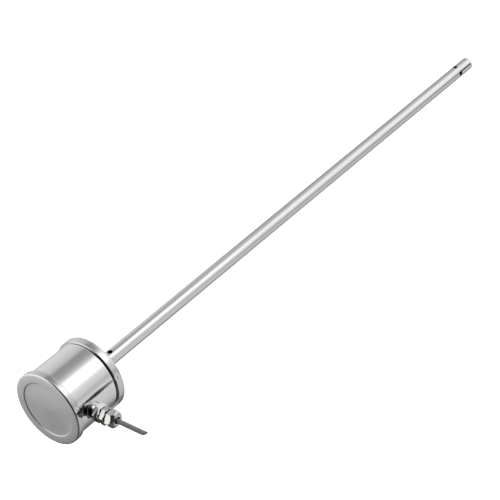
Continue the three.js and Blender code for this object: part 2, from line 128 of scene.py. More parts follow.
class Nodes:
    """A node tree built step by step: every helper adds a node and returns its output."""

    def __init__(self, tree):
        self.tree = tree

    def link(self, value, socket):
        if isinstance(value, bpy.types.NodeSocket):
            self.tree.links.new(value, socket)
        else:
            socket.default_value = value

    def math(self, operation, a, b=0.0, clamp=False):
        node = self.tree.nodes.new("ShaderNodeMath")
        node.operation = operation
        node.use_clamp = clamp
        self.link(a, node.inputs[0])
        self.link(b, node.inputs[1])
        return node.outputs[0]

    def product(self, first, *others):
        for other in others:
            first = self.math("MULTIPLY", first, other)
        return first

    def split(self, vector):
        node = self.tree.nodes.new("ShaderNodeSeparateXYZ")
        self.link(vector, node.inputs[0])
        return node.outputs

    def noise(self, where, scale, detail=3.0, rough=0.5):
        node = self.tree.nodes.new("ShaderNodeTexNoise")
        self.link(where, node.inputs["Vector"])
        node.inputs["Scale"].default_value = scale
        node.inputs["Detail"].default_value = detail
        node.inputs["Roughness"].default_value = rough
        return node.outputs["Fac"]

    def rings(self, along, scale, detail=4.0):
        node = self.tree.nodes.new("ShaderNodeTexNoise")
        node.noise_dimensions = "1D"
        self.link(along, node.inputs["W"])
        node.inputs["Scale"].default_value = scale
        node.inputs["Detail"].default_value = detail
        return node.outputs["Fac"]

    def ranged(self, value, low, high, start=0.3, end=0.7):
        node = self.tree.nodes.new("ShaderNodeMapRange")
        self.link(value, node.inputs["Value"])
        node.inputs["From Min"].default_value = start
        node.inputs["From Max"].default_value = end
        node.inputs["To Min"].default_value = low
        node.inputs["To Max"].default_value = high
        return node.outputs[0]

    def blend(self, factor, a, b):
        node = self.tree.nodes.new("ShaderNodeMix")
        node.data_type = "RGBA"
        self.link(factor, node.inputs["Factor"])
        self.link(a, node.inputs[6])
        self.link(b, node.inputs[7])
        return node.outputs[2]

    def bump(self, height, strength, distance, under=None):
        node = self.tree.nodes.new("ShaderNodeBump")
        self.link(strength, node.inputs["Strength"])
        node.inputs["Distance"].default_value = distance
        self.link(height, node.inputs["Height"])
        if under is not None:
            self.link(under, node.inputs["Normal"])
        return node.outputs[0]


class Shader(Nodes):
    """A material round one Principled shader, in the object's own coordinates."""

    def __init__(self, name):
        self.material = bpy.data.materials.new(name)
        self.material.use_nodes = True
        super().__init__(self.material.node_tree)
        self.tree.nodes.clear()
        output = self.tree.nodes.new("ShaderNodeOutputMaterial")
        self.bsdf = self.tree.nodes.new("ShaderNodeBsdfPrincipled")
        self.tree.links.new(self.bsdf.outputs[0], output.inputs[0])
        self.place = self.tree.nodes.new("ShaderNodeTexCoord").outputs["Object"]

    def stretched(self, scale):
        node = self.tree.nodes.new("ShaderNodeMapping")
        self.link(self.place, node.inputs["Vector"])
        node.inputs["Scale"].default_value = scale
        return node.outputs[0]

    def radius(self):
        x, y, _ = self.split(self.place)
        return self.math("SQRT", self.math("ADD", self.math("MULTIPLY", x, x), self.math("MULTIPLY", y, y)))

    def finish(self, color, roughness, metallic=0.0, normal=None, **fixed):
        self.link(color, self.bsdf.inputs["Base Color"])
        self.link(roughness, self.bsdf.inputs["Roughness"])
        self.bsdf.inputs["Metallic"].default_value = metallic
        if normal is not None:
            self.link(normal, self.bsdf.inputs["Normal"])
        for name, value in fixed.items():
            self.bsdf.inputs[name.replace("_", " ")].default_value = value
        return self.material


def grey(value, tint=(1.0, 1.0, 1.0)):
    return (value * tint[0], value * tint[1], value * tint[2], 1.0)


# the up and across entries point to the side that carries the painted dark reflection of the gland, towards
# +Z and -Y
GLAND_REFLECTION = {"full": 9.2 * MM, "end": 10.6 * MM, "edge": 1.5 * MM, "waver": 0.8 * MM, "up": 0.8, "across": 0.6}
GLAND_REFLECTION_START = (36 * MM, 37.5 * MM)
GLAND_REFLECTION_STOP = (45.5 * MM, 47 * MM)


def polished_steel(name, low, high):
    """Mirror-polished steel; round the gland's socket a dark reflection of the gland is painted into its
    colour.
    """
    s = Shader(name)
    smudge = s.noise(s.stretched((1, 1, 0.6)), 42, 4, 0.6)
    tone = s.blend(s.ranged(smudge, 0, 1), grey(low), grey(high))
    marks = s.noise(s.stretched((30, 30, 900)), 1.0, 2)
    waves = s.noise(s.place, 38, 1)
    normal = s.bump(marks, 0.05, 0.00002, s.bump(waves, 0.05, 0.0004))
    x, y, z = s.split(s.place)
    rise = s.math("SUBTRACT", z, gland_height)
    away = s.math("SQRT", s.math("ADD", s.math("MULTIPLY", y, y), s.math("MULTIPLY", rise, rise)))
    waver, edge = GLAND_REFLECTION["waver"], GLAND_REFLECTION["edge"]
    uneven = s.math("ADD", away, s.ranged(s.noise(s.place, 300, 3), -waver, waver))
    up, across = s.math("MULTIPLY", rise, GLAND_REFLECTION["up"]), s.math("MULTIPLY", y, GLAND_REFLECTION["across"])
    side = s.math("SUBTRACT", up, across)
    # painted reflection: a mask round the gland on the drum, on the side towards +Z and -Y, where the colour
    # goes near black and brownish
    reflection_mask = s.product(s.ranged(uneven, 1, 0, GLAND_REFLECTION["full"], GLAND_REFLECTION["end"]),
                         s.ranged(side, 0, 1, -edge, edge),
                         s.ranged(x, 0, 1, *GLAND_REFLECTION_START), s.ranged(x, 1, 0, *GLAND_REFLECTION_STOP))
    tone = s.blend(reflection_mask, tone, (0.035, 0.024, 0.022, 1))
    return s.finish(tone, s.ranged(smudge, 0.03, 0.08), 1.0, normal)


def ground_steel():
    """The sensing tube: ground round and round outside, so its marks run across its length; its bore is
    painted near black as painted shade, and made rougher."""
    s = Shader("ground steel")
    smudge = s.noise(s.stretched((1, 1, 0.3)), 30, 4, 0.6)
    tone = s.blend(s.ranged(smudge, 0, 1), grey(0.72), grey(0.79))
    _, _, z = s.split(s.place)
    marks = s.rings(z, 2600, 3)
    fine = s.noise(s.stretched((60, 60, 2400)), 1.0, 2)
    normal = s.bump(fine, 0.06, 0.00003, s.bump(marks, 0.05, 0.00003))
    # painted shade: the tube's bore is darkened to near black
    bore = s.ranged(s.radius(), 1, 0, tube_radius - 0.6 * MM, tube_radius - 0.3 * MM)
    tone = s.blend(bore, tone, grey(0.06))
    rough = s.math("ADD", s.ranged(marks, 0.1, 0.18), s.math("MULTIPLY", bore, 0.4))
    return s.finish(tone, rough, 1.0, normal, Specular_Tint=grey(0.8))


def satin_steel():
    s = Shader("satin steel")
    smudge = s.noise(s.place, 60, 4, 0.6)
    tone = s.blend(s.ranged(smudge, 0, 1), grey(0.58), grey(0.66))
    fine = s.noise(s.stretched((300, 300, 1200)), 1.0, 3)
    return s.finish(tone, s.ranged(smudge, 0.16, 0.26), 1.0, s.bump(fine, 0.1, 0.00003))


def cover_steel():
    """The cover: a polished rim round a face with the fine circular marks of the lathe. The marks spread a
    reflection across themselves; the face's bright sector, towards 97 degrees and stronger towards the rim,
    is a painted highlight in its colour."""
    s = Shader("cover steel")
    x, y, z = s.split(s.place)
    radius = s.radius()
    face = s.ranged(radius, 1, 0, cover_radius - 1.3 * MM, cover_radius - 0.9 * MM)
    groove = s.rings(s.math("ADD", radius, z), 3600, 4)
    smudge = s.noise(s.place, 26, 4, 0.6)
    rim_tone = s.blend(s.ranged(smudge, 0, 1), grey(0.62), grey(0.68))
    # painted highlight: the face's colour is made lighter on the side towards 97 degrees, more so towards the
    # rim, with a little random tone mixed in
    sheen_lobe = s.math("COSINE", s.math("SUBTRACT", s.math("ARCTAN2", y, x), math.radians(97)))
    spread = s.math("MULTIPLY", s.ranged(sheen_lobe, 0, 0.9, 0, 1), s.ranged(radius, 0.3, 1, 0, 25 * MM))
    smudge_and_sheen = s.math("ADD", s.ranged(smudge, -0.05, 0.05), spread)
    face_tone_and_sheen = s.blend(smudge_and_sheen, grey(0.55), grey(0.84))
    around = s.tree.nodes.new("ShaderNodeTangent")
    around.direction_type = "RADIAL"
    around.axis = "Z"
    s.link(around.outputs[0], s.bsdf.inputs["Tangent"])
    s.link(s.math("MULTIPLY", face, 0.6), s.bsdf.inputs["Anisotropic"])
    fine = s.noise(s.stretched((220, 220, 900)), 1.0, 3)
    normal = s.bump(fine, 0.05, 0.00003, s.bump(groove, s.math("MULTIPLY", face, 0.15), 0.00003))
    rough = s.math("ADD", s.math("MULTIPLY", face, 0.2), s.ranged(smudge, 0.05, 0.09))
    return s.finish(s.blend(face, rim_tone, face_tone_and_sheen), rough, 1.0, normal)


def nickel():
    s = Shader("nickel plate")
    smudge = s.noise(s.place, 160, 4, 0.6)
    tone = s.blend(s.ranged(smudge, 0, 1), grey(0.6, (1, 0.985, 0.95)), grey(0.72, (1, 0.99, 0.97)))
    pits = s.noise(s.place, 2400, 2)
    return s.finish(tone, s.ranged(smudge, 0.17, 0.26), 1.0, s.bump(pits, 0.06, 0.00003))


def brass():
    s = Shader("turned brass")
    tarnish = s.noise(s.place, 220, 4, 0.6)
    tone = s.blend(s.ranged(tarnish, 0, 1), (0.72, 0.5, 0.2, 1), (0.86, 0.66, 0.32, 1))
    fine = s.noise(s.stretched((400, 400, 3000)), 1.0, 3)
    return s.finish(tone, s.ranged(tarnish, 0.2, 0.34), 1.0, s.bump(fine, 0.15, 0.00003))


def plastic(name, color, rough, grain=1500, tint=0.25, depth=0.00002, **fixed):
    """Moulded plastic: a faint mottled tone, a fine grain and a roughness that varies a little."""
    s = Shader(name)
    cloud = s.noise(s.place, 180, 4, 0.6)
    darker = tuple(c * (1 - tint) for c in color[:3]) + (1,)
    tone = s.blend(s.ranged(cloud, 0, 1), darker, (*color[:3], 1))
    skin = s.noise(s.place, grain, 3)
    normal = s.bump(skin, 0.25, depth)
    return s.finish(tone, s.ranged(skin, rough - 0.05, rough + 0.07), 0.0, normal, **fixed)


def solder_mask():
    """The circuit board: green mask with faint raised tracks."""
    s = Shader("solder mask")
    cells = s.tree.nodes.new("ShaderNodeTexVoronoi")
    cells.feature = "DISTANCE_TO_EDGE"
    cells.distance = "EUCLIDEAN"
    s.link(s.place, cells.inputs["Vector"])
    cells.inputs["Scale"].default_value = 260
    track = s.ranged(cells.outputs[0], 1, 0, 0.05, 0.1)
    tone = s.blend(track, (0.01, 0.09, 0.04, 1), (0.03, 0.2, 0.08, 1))
    return s.finish(tone, 0.32, 0.0, s.bump(track, 0.3, 0.00004), Coat_Weight=0.4)


materials = {
    "polished_steel": polished_steel("polished steel", 0.76, 0.8),
    "flange_steel": polished_steel("flange steel", 0.66, 0.71),
    "ground_steel": ground_steel(),
    "satin_steel": satin_steel(),
    "cover_steel": cover_steel(),
    "nickel_plate": nickel(),
    "brass": brass(),
    "black_rubber": plastic("black rubber", (0.008, 0.008, 0.009), 0.35, 900, 0.3, 0.00004,
                            Specular_IOR_Level=0.25),
    "white_ptfe": plastic("white ptfe", (0.84, 0.84, 0.8), 0.42, 700, 0.06, 0.00003, Subsurface_Weight=0.1),
    "grey_pvc": plastic("grey pvc", (0.2, 0.2, 0.206), 0.5, 1400, 0.12, 0.00003),
    "board_green": solder_mask(),
    "green_plastic": plastic("green plastic", (0.04, 0.26, 0.1), 0.35),
    "blue_plastic": plastic("blue plastic", (0.03, 0.13, 0.4), 0.35),
    "black_plastic": plastic("black plastic", (0.015, 0.015, 0.016), 0.45),
    "wire_red": plastic("red wire", (0.4, 0.02, 0.02), 0.35),
    "wire_black": plastic("black wire", (0.012, 0.012, 0.013), 0.35),
    "wire_blue": plastic("blue wire", (0.03, 0.08, 0.35), 0.35),
    "wire_yellow": plastic("yellow wire", (0.7, 0.5, 0.04), 0.35),
    "wire_green": plastic("green wire", (0.06, 0.3, 0.05), 0.35),
}

# ---------------------------------------------------------------- mesh tools

SHARP_ANGLE = math.radians(32)


def make_object(name, verts, faces, matrix=None):
    mesh = bpy.data.meshes.new(name)
    mesh.from_pydata([tuple(v) for v in verts], [], faces)
    if matrix is not None:
        mesh.transform(matrix)
    obj = bpy.data.objects.new(name, mesh)
    bpy.context.scene.collection.objects.link(obj)
    return obj


def smooth(obj):
    mesh = obj.data
    mesh.polygons.foreach_set("use_smooth", [True] * len(mesh.polygons))
    mesh.set_sharp_from_angle(angle=SHARP_ANGLE)


ARC_STEPS = 4


def rounded(outline):
    """A closed outline of (radius, height) points, where (radius, height, fillet) is eased by an arc."""
    points = []
    count = len(outline)
    for i, (r, z, *fillet) in enumerate(outline):
        here = Vector((r, z))
        if not fillet:
            points.append((r, z))
            continue
        before = Vector(outline[i - 1][:2]) - here
        after = Vector(outline[(i + 1) % count][:2]) - here
        reach = min(fillet[0], before.length * 0.49, after.length * 0.49)
        start = here + before.normalized() * reach
        end = here + after.normalized() * reach
        for k in range(ARC_STEPS + 1):
            t = k / ARC_STEPS
            point = start * (1 - t) ** 2 + here * (2 * t * (1 - t)) + end * t**2
            points.append((point.x, point.y))
    return points


def ladder(radius, start, end, step):
    """Points at one radius from one height to another, close enough together to carry a thread."""
    count = max(1, round(abs(end - start) / step))
    return [(radius, start + (end - start) * i / count) for i in range(count + 1)]


def turned(outline, sides=96, shape=None, turn=0.0):
    """Vertices and faces of a closed outline turned about Z. shape(r, angle, z) may change a radius."""
    profile = rounded(outline)
    pairs = list(zip(profile, profile[1:] + profile[:1]))
    area = sum(r0 * z1 - r1 * z0 for (r0, z0), (r1, z1) in pairs)
    ordered = profile if area > 0 else profile[::-1]
    verts, rings = [], []
    for r, z in ordered:
        if r < 1e-7:
            rings.append([len(verts)])
            verts.append((0, 0, z))
            continue
        rings.append(list(range(len(verts), len(verts) + sides)))
        for i in range(sides):
            angle = turn + TAU * i / sides
            reach = shape(r, angle, z) if shape else r
            verts.append((reach * math.cos(angle), reach * math.sin(angle), z))
    faces = []
    for a, b in zip(rings, rings[1:] + rings[:1]):
        if len(a) == 1 and len(b) == 1:
            continue
        for i in range(sides):
            j = (i + 1) % sides
            if len(a) == 1:
                faces.append((a[0], b[j], b[i]))
            elif len(b) == 1:
                faces.append((a[i], a[j], b[0]))
            else:
                faces.append((a[i], a[j], b[j], b[i]))
    return verts, faces


def hexagon(flats, turn=0.0):
    """A shape for turned(): no radius goes past a hexagon of that size across its flats."""
    sixth = TAU / 6

    def limit(r, angle, _):
        return min(r, flats / 2 / math.cos((angle - turn) % sixth - sixth / 2))

    return limit


def thread(outer, depth, pitch, start, end):
    """A shape for turned(): a right-hand thread cut into an outside radius between two heights."""

    def limit(r, angle, z):
        if r < outer - 1.5 * depth or not start <= z <= end:
            return r
        phase = (z / pitch - angle / TAU) % 1
        fade = min(1, (z - start) / pitch, (end - z) / pitch)
        groove = min(1, 1.25 * abs(2 * phase - 1)) * depth * fade
        return min(r, outer - groove)

    return limit


def inner_thread(inner, depth, pitch, start, end):
    """The same thread cut into a bore, whose radius grows."""

    def limit(r, angle, z):
        if abs(r - inner) > depth / 2 or not start <= z <= end:
            return r
        phase = (z / pitch - angle / TAU) % 1
        fade = min(1, (z - start) / pitch, (end - z) / pitch)
        return inner + min(1, 1.25 * abs(2 * phase - 1)) * depth * fade

    return limit


def both(*shapes):
    def limit(r, angle, z):
        for shape in shapes:
            r = shape(r, angle, z)
        return r

    return limit


def apply_modifiers(obj):
    """Applies the object's modifiers to its mesh."""
    graph = bpy.context.evaluated_depsgraph_get()
    mesh = bpy.data.meshes.new_from_object(obj.evaluated_get(graph))
    obj.modifiers.clear()
    obj.data = mesh


def boolean(obj, tool, operation):
    modifier = obj.modifiers.new(operation, "BOOLEAN")
    modifier.operation = operation
    modifier.solver = "EXACT"
    modifier.object = tool
    apply_modifiers(obj)
    bpy.data.objects.remove(tool)


def box_object(low, high, bevel=0.0):
    (x0, y0, z0), (x1, y1, z1) = low, high
    verts = [(x, y, z) for x in (x0, x1) for y in (y0, y1) for z in (z0, z1)]
    faces = [(0, 1, 3, 2), (4, 6, 7, 5), (0, 4, 5, 1), (2, 3, 7, 6), (0, 2, 6, 4), (1, 5, 7, 3)]
    obj = make_object("box", verts, faces)
    if bevel:
        modifier = obj.modifiers.new("edges", "BEVEL")
        modifier.width = bevel
        modifier.segments = 3
        apply_modifiers(obj)
    return obj


def cylinder_object(radius, start, end, matrix, sides=48):
    outline = [(0, start), (radius, start), (radius, end), (0, end)]
    return make_object("cylinder", *turned(outline, sides), matrix)


def along_x():
    """What is built up along +Z is laid along +X at the gland's height."""
    return Matrix.Translation((0, 0, gland_height)) @ Matrix.Rotation(TAU / 4, 4, "Y")


def bead(points, radius, sides, ripple):
    """A round bead along a closed row of points. ripple(i) scales its thickness at each."""
    verts, faces, rings = [], [], []
    count = len(points)
    side = Vector((0, 0, 1))
    for i, point in enumerate(points):
        along = (Vector(points[(i + 1) % count]) - Vector(points[i - 1])).normalized()
        if abs(along.dot(side)) > 0.95:
            side = Vector((1, 0, 0))
        across = along.cross(side).normalized()
        side = across.cross(along).normalized()
        reach = radius * ripple(i)
        rings.append(range(len(verts), len(verts) + sides))
        for k in range(sides):
            angle = TAU * k / sides
            verts.append(Vector(point) + (across * math.cos(angle) + side * math.sin(angle)) * reach)
    for i in range(count):
        a, b = rings[i], rings[(i + 1) % count]
        for k in range(sides):
            j = (k + 1) % sides
            faces.append((a[k], b[k], b[j], a[j]))
    return verts, faces


def ready(obj, body, slot, *nodes, finish=None):
    """Gives a finished mesh its material, its body and the CAD nodes it stands for."""
    smooth(obj)
    obj.data.materials.clear()
    obj.data.materials.append(materials[finish or slot])
    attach(obj, body)
    if nodes:
        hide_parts(*nodes)


# ---------------------------------------------------------------- head


def base_flange():
    inner = drum_radius - DRUM_WALL - GAP
    wall = 3.6 * MM
    boss, socket, top = 13.2 * MM, tube_radius + GAP, FLANGE_THICKNESS
    seat, stem, shelf = 11.3 * MM, 6.3 * MM, 4 * MM
    thread_end = -1.6 * MM
    outline = [(boss - 1.2 * MM, boss_bottom, 0.2 * MM)]
    outline += ladder(boss, boss_bottom + 1.2 * MM, thread_end, 0.2 * MM)
    outline += [
        (boss - 1.1 * MM, thread_end + 0.3 * MM, 0.2 * MM), (boss - 1.1 * MM, 0, 0.3 * MM),
        (flange_radius, 0, 0.9 * MM), (flange_radius, top, 0.5 * MM), (inner, top, 0.2 * MM)]
    outline += ladder(inner, top + 0.6 * MM, spigot_top - 0.6 * MM, 0.2 * MM)
    outline += [
        (inner - 0.5 * MM, spigot_top, 0.1 * MM), (inner - wall, spigot_top, 0.3 * MM),
        (inner - wall, top, 0.4 * MM),
        (seat, top, 0.3 * MM), (seat, shelf), (stem, shelf), (stem, tube_top + GAP),
        (socket, tube_top + GAP), (socket, boss_bottom, 0.3 * MM)]
    shape = both(thread(boss, 1.0 * MM, 1.814 * MM, boss_bottom + 1.0 * MM, thread_end + 0.2 * MM),
                 thread(inner, 0.5 * MM, 1.5 * MM, top + 0.6 * MM, spigot_top - 0.5 * MM))
    obj = make_object("base_flange_fine", *turned(outline, 192, shape))
    ready(obj, "probe", "satin_steel", "base_flange", finish="flange_steel")


def base_gasket():
    inner = drum_radius - DRUM_WALL + GAP
    low, high = FLANGE_THICKNESS, drum_bottom
    ease = 0.15 * MM
    outline = [(inner, low), (gasket_radius, low, ease), (gasket_radius, high, ease), (inner, high)]
    obj = make_object("base_gasket_fine", *turned(outline, 192))
    ready(obj, "probe", "black_rubber", "base_gasket")


def drum_shell():
    inner = drum_radius - DRUM_WALL
    neck = cover_skirt - GAP
    outline = [(inner, drum_bottom, 0.3 * MM), (drum_radius, drum_bottom, 1.2 * MM)]
    outline += ladder(drum_radius, drum_bottom + 1 * MM, neck - 1 * MM, 4 * MM)
    outline += [(drum_radius, neck, 0.3 * MM), (NECK_RADIUS - 0.4 * MM, neck, 0.1 * MM)]
    outline += ladder(NECK_RADIUS, neck + 0.5 * MM, drum_top - 0.4 * MM, 0.2 * MM)
    outline += [(NECK_RADIUS - 0.5 * MM, drum_top, 0.1 * MM), (inner, drum_top, 0.3 * MM)]
    shape = thread(NECK_RADIUS, 0.5 * MM, 1.5 * MM, neck + 0.5 * MM, drum_top)
    obj = make_object("drum_shell_fine", *turned(outline, 192, shape))
    boolean(obj, gland_socket(), "UNION")
    bore = cylinder_object(GLAND_BORE, 30 * MM, socket_end + 1 * MM, along_x(), 64)
    boolean(obj, bore, "DIFFERENCE")
    ready(obj, "probe", "polished_steel", "drum_shell")


def gland_socket():
    """The round neck and hexagon that are welded to the drum, as a solid without its bore."""
    neck, corner = 8.2 * MM, HEX_FLATS / math.sqrt(3)
    neck_start, neck_end = 37.9 * MM, 46 * MM
    outline = [(0, neck_start), (neck, neck_start), (neck, neck_end)]
    outline += [(HEX_FLATS / 2 - 0.1 * MM, neck_end, 0.1 * MM), (corner, neck_end + 0.8 * MM, 0.1 * MM)]
    outline += ladder(corner, neck_end + 1.2 * MM, socket_end - 1.2 * MM, 1 * MM)
    outline += [(corner, socket_end - 0.8 * MM, 0.1 * MM), (HEX_FLATS / 2 - 0.1 * MM, socket_end, 0.1 * MM)]
    outline.append((0, socket_end))
    return make_object("socket", *turned(outline, 96, hexagon(HEX_FLATS, HEX_TURN), HEX_TURN), along_x())


def socket_weld():
    """The rippled weld bead where the socket meets the drum."""
    reach = 8.4 * MM
    points = []
    for i in range(180):
        angle = TAU * i / 180
        y, rise = reach * math.cos(angle), reach * math.sin(angle)
        points.append((math.sqrt((drum_radius + 0.1 * MM) ** 2 - y * y), y, gland_height + rise))

    def ripple(i):
        return 1 + 0.12 * math.sin(i * TAU / 5)

    obj = make_object("socket_weld", *bead(points, 0.7 * MM, 12, ripple))
    ready(obj, "probe", "satin_steel")


def screw_cover():
    skirt, top = cover_skirt, cover_top
    under = top - 2.6 * MM
    inner = NECK_RADIUS + GAP
    recess, depth = 31.6 * MM, 0.8 * MM
    outline = [(0, under), (inner, under)]
    outline += ladder(inner, under - 0.3 * MM, skirt + 0.6 * MM, 0.2 * MM)
    outline += [
        (inner + 0.5 * MM, skirt, 0.1 * MM), (cover_radius, skirt, 0.5 * MM), (cover_radius, top, 1.6 * MM),
        (recess + 0.7 * MM, top, 0.25 * MM), (recess, top - depth, 0.3 * MM), (recess - 8 * MM, top - depth)]
    outline.append((0, top - depth))
    shape = inner_thread(inner, 0.4 * MM, 1.5 * MM, skirt + 0.5 * MM, under - 0.4 * MM)
    obj = make_object("screw_cover_fine", *turned(outline, 192, shape))
    ready(obj, "cover", "satin_steel", "screw_cover", finish="cover_steel")


def plain_ring(node, body, slot, inner, sides=96, axis=2):
    """A CAD ring made again with rounded edges. Its axis is Z, or X for the gland's pieces."""
    ease = 0.2 * MM
    low, high = span(node, axis)
    outer = radius_of(node)
    centre = [sum(span(node, a)) / 2 for a in range(3)]
    outline = [(inner, low, ease), (outer, low, ease), (outer, high, ease), (inner, high, ease)]
    matrix = along_x() if axis == 0 else Matrix.Translation((centre[0], centre[1], 0))
    obj = make_object(node + "_fine", *turned(outline, sides), matrix)
    ready(obj, body, slot, node)


# ---------------------------------------------------------------- probe


def outer_tube():
    inner = tube_radius - 1 * MM
    outline = [(inner, tube_tip, 0.2 * MM), (tube_radius, tube_tip, 0.3 * MM)]
    plain_low, plain_high, margin = -685 * MM, -50 * MM, 5 * MM
    for start, end, step in ((tube_tip + 1 * MM, plain_low - margin, 1.5 * MM),
                             (plain_low, plain_high, 40 * MM),
                             (plain_high + margin, tube_top - 1 * MM, 2 * MM)):
        outline += ladder(tube_radius, start, end, step)
    outline += [(tube_radius, tube_top, 0.3 * MM), (inner, tube_top, 0.3 * MM)]
    for start, end, step in ((tube_top - 1 * MM, plain_high + margin, 2 * MM),
                             (plain_high, plain_low, 40 * MM),
                             (plain_low - margin, tube_tip + 1 * MM, 1.5 * MM)):
        outline += ladder(inner, start, end, step)
    obj = make_object("outer_tube_fine", *turned(outline, 96))
    reach = 1.5 * tube_radius
    for radius, height, turn in (
            (TOP_VENT_RADIUS, TOP_VENT_Z, TOP_VENT_TURN),
            (TIP_VENT_RADIUS, TIP_VENT_Z, TIP_VENT_TURN),
            (TIP_VENT_RADIUS, TIP_VENT_Z, TIP_VENT_TURN + TAU / 4)):
        aim = Matrix.Rotation(turn, 4, "Z") @ Matrix.Rotation(TAU / 4, 4, "Y")
        drill = cylinder_object(radius, -reach, reach, Matrix.Translation((0, 0, height)) @ aim)
        boolean(obj, drill, "DIFFERENCE")
    saw = box_object((-reach, -SLOT_WIDTH / 2, tube_tip - 1 * MM), (reach, SLOT_WIDTH / 2, TIP_VENT_Z))
    saw.data.transform(Matrix.Rotation(SLOT_TURN, 4, "Z"))
    boolean(obj, saw, "DIFFERENCE")
    ready(obj, "probe", "polished_steel", "outer_tube", finish="ground_steel")


def spacers():
    inner, outer = 4.6 * MM, 6.7 * MM
    for i in range(4):
        node = f"spacer_{i + 1}"
        low, high = span(node, 2)
        outline = [(inner, low, 0.2 * MM), (outer, low, 0.3 * MM),
                   (outer, high, 0.3 * MM), (inner, high, 0.2 * MM)]

        def notched(r, angle, _):
            away = abs((angle + TAU / 6) % (TAU / 3) - TAU / 6) * outer
            dip = max(0.0, 1 - (away / (1.6 * MM)) ** 2)
            return r if r < outer - 0.6 * MM else r - 1.5 * MM * math.sqrt(dip)

        ready(make_object(node + "_fine", *turned(outline, 120, notched)), "probe", "white_ptfe", node)


def end_plug():
    low, high = span("end_plug", 2)
    outer, socket = 6.7 * MM, 4.6 * MM
    socket_floor = high - 12 * MM
    outline = [(0, low), (outer, low, 0.9 * MM), (outer, high, 0.3 * MM), (socket, high, 0.3 * MM),
               (socket, socket_floor), (0, socket_floor)]
    ready(make_object("end_plug_fine", *turned(outline, 96)), "probe", "black_plastic", "end_plug")


def electrode_rod():
    low, high = span("electrode_rod", 2)
    radius, thread_start = 3 * MM, 9 * MM
    outline = [(0, low), (radius, low, 0.6 * MM)]
    outline += ladder(radius, low + 1 * MM, thread_start - 1 * MM, 60 * MM)
    outline += ladder(radius, thread_start, high - 0.8 * MM, 0.125 * MM)
    outline += [(radius - 0.7 * MM, high), (0, high)]
    shape = thread(radius, 0.5 * MM, 1 * MM, thread_start, high)
    obj = make_object("electrode_rod_fine", *turned(outline, 48, shape))
    ready(obj, "probe", "satin_steel", "electrode_rod")


def insulator_bush():
    low, high = span("insulator_bush", 2)
    bore, stem, shoulder, step = ROD_BORE, 6 * MM, 11 * MM, 4.3 * MM
    outline = [(bore, low, 0.2 * MM), (stem, low, 0.4 * MM), (stem, step, 0.2 * MM),
               (shoulder, step, 0.3 * MM), (shoulder, high, 0.4 * MM), (bore, high, 0.3 * MM)]
    obj = make_object("insulator_bush_fine", *turned(outline, 96))
    ready(obj, "probe", "white_ptfe", "insulator_bush")


def hex_nut(node, flats, bore):
    """A nut with a chamfered bore, and faces whose corners are turned down to arcs."""
    low, high = span(node, 2)
    corner, chamfer = flats / math.sqrt(3), 0.5 * MM
    drop = (corner - flats / 2) * 0.58
    outline = [(bore + chamfer, low), (flats / 2 - 0.1 * MM, low), (corner, low + drop)]
    outline += ladder(corner, low + drop * 1.3, high - drop * 1.3, 0.5 * MM)
    outline += [(corner, high - drop), (flats / 2 - 0.1 * MM, high), (bore + chamfer, high)]
    outline += [(bore, high - chamfer), (bore, low + chamfer)]
    obj = make_object(node + "_fine", *turned(outline, 96, hexagon(flats)))
    ready(obj, "probe", "satin_steel", node)


def ring_terminal():
    low, high = span("ring_terminal", 2)
    tongue, reach = 5.4 * MM, span("ring_terminal", 0)[1]
    ease = 0.1 * MM
    outline = [(ROD_BORE, low, ease), (tongue, low, ease), (tongue, high, ease), (ROD_BORE, high, ease)]
    obj = make_object("ring_terminal_fine", *turned(outline, 64))
    tail = box_object((4.2 * MM, -2.2 * MM, low), (reach, 2.2 * MM, high), 0.1 * MM)
    boolean(obj, tail, "UNION")
    ready(obj, "probe", "brass", "ring_terminal")


# ---------------------------------------------------------------- gland


def gland_body():
    start, end = span("gland_body", 0)
    washer_end, hex_end = 55 * MM, 61 * MM
    stem, male, bore, seat = 6 * MM, 7 * MM, 3.4 * MM, 5.5 * MM
    corner = HEX_FLATS / math.sqrt(3)
    hex_start = washer_end + GAP
    drop = 0.7 * MM
    cone_start, cone_end = 62.6 * MM, 64 * MM
    outline = [(bore, start + 0.4 * MM), (bore + 0.4 * MM, start), (stem - 0.5 * MM, start)]
    outline += ladder(stem, start + 0.5 * MM, hex_start - 1 * MM, 0.15 * MM)
    outline += [(stem - 0.4 * MM, hex_start - 0.8 * MM), (stem - 0.4 * MM, hex_start)]
    outline += [(HEX_FLATS / 2 - 0.1 * MM, hex_start, 0.1 * MM), (corner, hex_start + drop, 0.1 * MM)]
    outline += ladder(corner, hex_start + 1.2 * MM, hex_end - 1.2 * MM, 0.6 * MM)
    outline += [(corner, hex_end - drop, 0.1 * MM), (HEX_FLATS / 2 - 0.1 * MM, hex_end, 0.1 * MM)]
    outline += [(male - 0.4 * MM, hex_end), (male - 0.4 * MM, hex_end + 1.5 * MM)]
    outline += ladder(male, hex_end + 1.8 * MM, end - 0.4 * MM, 0.15 * MM)
    outline += [(male - 0.5 * MM, end), (seat, end), (seat, cone_end), (bore, cone_start)]
    shape = both(hexagon(HEX_FLATS, HEX_TURN),
                 thread(stem, 0.45 * MM, 1.5 * MM, start + 0.4 * MM, hex_start - 0.9 * MM),
                 thread(male, 0.45 * MM, 1.5 * MM, hex_end + 1.7 * MM, end))
    obj = make_object("gland_body_fine", *turned(outline, 96, shape, HEX_TURN), along_x())
    ready(obj, "probe", "nickel_plate", "gland_body")


